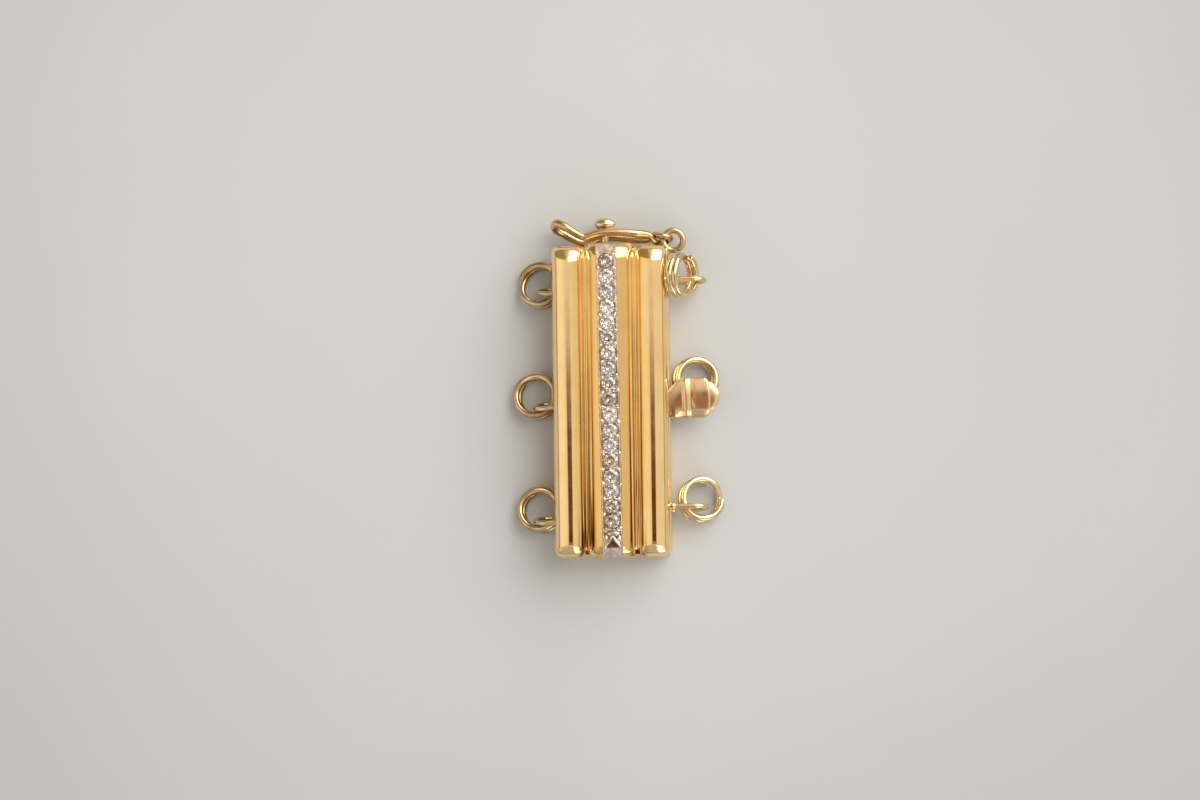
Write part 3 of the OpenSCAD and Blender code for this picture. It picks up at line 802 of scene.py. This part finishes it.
# Raised beads that hold the stones, the strip's worn cut edges, and the two arms of the pointed cut
rng = random.Random(7)
beads = Form()
for i in range(STONE_COUNT + 1):
    gap_y = FIRST_STONE_Y + STONE_PITCH / 2 - i * STONE_PITCH
    for way in (-1, 1):
        for _ in range(rng.choice((1, 1, 2))):
            x = way * (0.70 + rng.uniform(-0.10, 0.06))
            y = gap_y + rng.uniform(-0.13, 0.13)
            place = Matrix.Translation((x, y, STRIP_TOP - 0.02))
            place = place @ Matrix.Rotation(rng.uniform(-0.9, 0.9), 4, "Z")
            size = (rng.uniform(0.13, 0.27), rng.uniform(0.09, 0.19), rng.uniform(0.07, 0.14), 1)
            beads.ball(place @ Matrix.Diagonal(size), 1, 16)
    if rng.random() < 0.75:
        slope, bow = rng.uniform(-0.10, 0.10), rng.uniform(-0.05, 0.05)
        bar_path = [(0.07 * k, gap_y + slope * k / 9 + bow * (1 - (k / 9) ** 2), STRIP_TOP + 0.035)
                    for k in range(-9, 10)]
        beads.tube(bar_path, [0.035 + rng.uniform(0, 0.035) for _ in bar_path], 8, (0, 0, 1))
for way in (-1, 1):
    edge_path = [(way * (0.815 + rng.uniform(-0.03, 0.02)), 12.9 - 0.3 * i,
                  STRIP_TOP - 0.015 + rng.uniform(-0.02, 0.015)) for i in range(86)]
    beads.tube(edge_path, 0.055, 8, (0, 0, 1))
    arm = [(way * 0.05, -11.72, STRIP_TOP), (way * 0.36, -12.20, STRIP_TOP + 0.03),
           (way * 0.70, -12.70, STRIP_TOP - 0.02)]
    beads.tube(arm, [0.10, 0.15, 0.10], 10, (0, 0, 1))
    beads.ball(squashed((way * 0.58, -11.98, STRIP_TOP - 0.03), (0.9, 1.9, 0.6)), 0.2, 24)
beads.ball(squashed((0.1, -11.47, STRIP_TOP - 0.03), (2.4, 1.0, 0.55)), 0.22, 24)
piece("strip_beads", on_strip(beads), WHITE, "case", sharp=60)

# A dark piece in the pointed cut behind the last stone: painted shade
recess = Form()
recess.loft([[(0, -12.02, z), (-0.50, -12.63, z), (0.50, -12.63, z)]
             for z in (STRIP_BOTTOM + 0.09, STRIP_TOP - 0.2)])
piece("tail_painted_shade", on_strip(recess), PAINTED_SHADE, "case")


def ring_at(r, count, start, z):
    angles = [start + 360 * k / count for k in range(count)]
    return [(r * cosd(a), r * sind(a), z) for a in angles]


def brilliant(radius, place):
    """A round brilliant: table, stars, kites and halves above the girdle, mains and halves below it."""
    crown, depth, girdle = 0.21, 0.48, 0.015
    table, star, low = 0.56 * radius, 0.78 * radius, 0.24 * radius
    half_step = cosd(22.5)
    star_z = girdle + crown * (1 - (star * half_step - table) / (radius - table))
    low_z = -girdle - depth + depth * low * half_step / radius
    points = ring_at(table, 8, 22.5, girdle + crown) + ring_at(star, 8, 0, star_z)
    points += ring_at(radius, 16, 0, girdle) + ring_at(radius, 16, 0, -girdle)
    points += ring_at(low, 8, 0, low_z) + [(0, 0, -girdle - depth)]
    faces = [list(range(8))]
    for k in range(8):
        n = (k + 1) % 8
        a, b, c = 16 + 2 * k, 16 + 2 * k + 1, 16 + (2 * k + 2) % 16
        faces += [[(k + 7) % 8, 8 + k, k], [8 + k, b, 8 + n, k], [a, b, 8 + k], [b, c, 8 + n]]
        faces += [[a, a + 16, b + 16, b], [b, b + 16, c + 16, c]]
        faces += [[48 + k, b + 16, a + 16], [48 + n, c + 16, b + 16], [48 + k, 56, 48 + n, b + 16]]
    form = Form()
    form.add([tuple(place @ Vector(p)) for p in points], faces)
    return form


for i in range(STONE_COUNT):
    stone_z = STRIP_TOP - 0.035 + rng.uniform(-0.012, 0.012)
    sits = Matrix.Translation((0, FIRST_STONE_Y - i * STONE_PITCH, stone_z))
    sits = sits @ turned(rng.uniform(-3.5, 3.5), "X")
    sits = sits @ turned(rng.uniform(-3.5, 3.5), "Y")
    sits = sits @ Matrix.Rotation(rng.uniform(0, 0.78), 4, "Z")
    number = "%02d" % (i + 1)
    piece("brilliant_" + number, on_strip(brilliant(STONE_R, sits)), rng.choice(STONES), "case",
          ["stone_" + number], sharp=1)

# Table
TABLE_HALF = 1500
floor = Form()
floor.slab(-TABLE_HALF, TABLE_HALF, -TABLE_HALF, TABLE_HALF, -20, -0.01, 5, 1)
table_obj = object_of("table_top", floor)
table_obj.data.materials.append(table_top("table_top"))

# Light: a room painted by direction, so that the metal has something to reflect
world = bpy.data.worlds.new("studio")
bpy.context.scene.world = world
world.use_nodes = True
sky = world.node_tree
sky.nodes.clear()
coord = sky.nodes.new("ShaderNodeTexCoord")
split = sky.nodes.new("ShaderNodeSeparateXYZ")
sky.links.new(coord.outputs["Generated"], split.inputs[0])
TO_X, TO_Y, TO_Z = split.outputs


def step(value, start, end):
    """Rises softly from 0 at start to 1 at end; start may be the greater."""
    node = sky.nodes.new("ShaderNodeMapRange")
    node.interpolation_type = "SMOOTHSTEP"
    node.inputs["From Min"].default_value = start
    node.inputs["From Max"].default_value = end
    sky.links.new(value, node.inputs["Value"])
    return node.outputs["Result"]


def both(*masks):
    result = masks[0]
    for mask in masks[1:]:
        result = math_of(sky, "MULTIPLY", result, mask)
    return result


above_table = step(TO_Z, 0.0, 0.1)
# A pale room, and the shades laid over it one after the other
room = (0.86, 0.785, 0.67)
for mask, shade in (
        # lighter to the left, cooler towards the near side, warm at the far side, dim low down
        (both(step(TO_X, -0.35, -0.7), step(TO_Z, 0.1, 0.35)), (1.02, 0.94, 0.81)),
        (both(step(TO_Y, -0.3, -0.75), step(TO_X, 0.6, 0.2)), (0.50, 0.50, 0.53)),
        (both(step(TO_Y, 0.3, 0.7), step(TO_X, 0.25, 0.0)), (0.72, 0.60, 0.46)),
        (both(step(TO_Y, 0.2, 0.42), step(TO_X, 0.0, -0.2)), (0.34, 0.27, 0.15)),
        (step(TO_Z, 0.16, 0.03), (0.30, 0.24, 0.17)),
        # a large window up on the right, and a lower one at the near right
        (both(step(TO_X, 0.02, 0.30), step(TO_Y, 0.05, 0.26), step(TO_Z, 0.04, 0.30)), (3.9, 3.8, 3.6)),
        (both(step(TO_X, 0.12, 0.3), step(TO_Y, -0.6, -0.72), step(TO_Z, 0.02, 0.1)), (2.2, 2.2, 2.2)),
        # somebody leans over the table: brown, with a black middle
        (both(step(TO_X, -0.32, -0.24), step(TO_X, 0.32, 0.24), step(TO_Y, 0.013, 0.0),
              step(TO_Y, -0.5, -0.36), above_table), (0.38, 0.19, 0.11)),
        (both(step(TO_X, -0.25, -0.17), step(TO_X, 0.25, 0.17), step(TO_Y, 0.009, -0.009),
              step(TO_Y, -0.12, -0.06), above_table), (0.10, 0.03, 0.006))):
    room = mixed(sky, "MIX", room, shade, mask)

background = sky.nodes.new("ShaderNodeBackground")
background.inputs["Strength"].default_value = 1.0
sky.links.new(room, background.inputs["Color"])
output = sky.nodes.new("ShaderNodeOutputWorld")
sky.links.new(background.outputs[0], output.inputs["Surface"])
bpy.context.scene.view_settings.view_transform = "Standard"

# Camera, straight above, as in the photograph
LENS = 200
SENSOR = 36
VIEW_WIDTH = 0.1044  # metres across the picture, at VIEW_HEIGHT over the table
VIEW_HEIGHT = 0.003
VIEW_TURN = -0.0135
camera = bpy.data.objects.new("camera", bpy.data.cameras.new("camera"))
bpy.context.scene.collection.objects.link(camera)
camera.data.lens = LENS
camera.data.sensor_width = SENSOR
camera.data.clip_start = 0.01
camera.data.clip_end = 10
camera.location = (-0.00093, 0.00013, VIEW_WIDTH * LENS / SENSOR + VIEW_HEIGHT)
camera.rotation_euler = (0, 0, VIEW_TURN)
bpy.context.scene.camera = camera
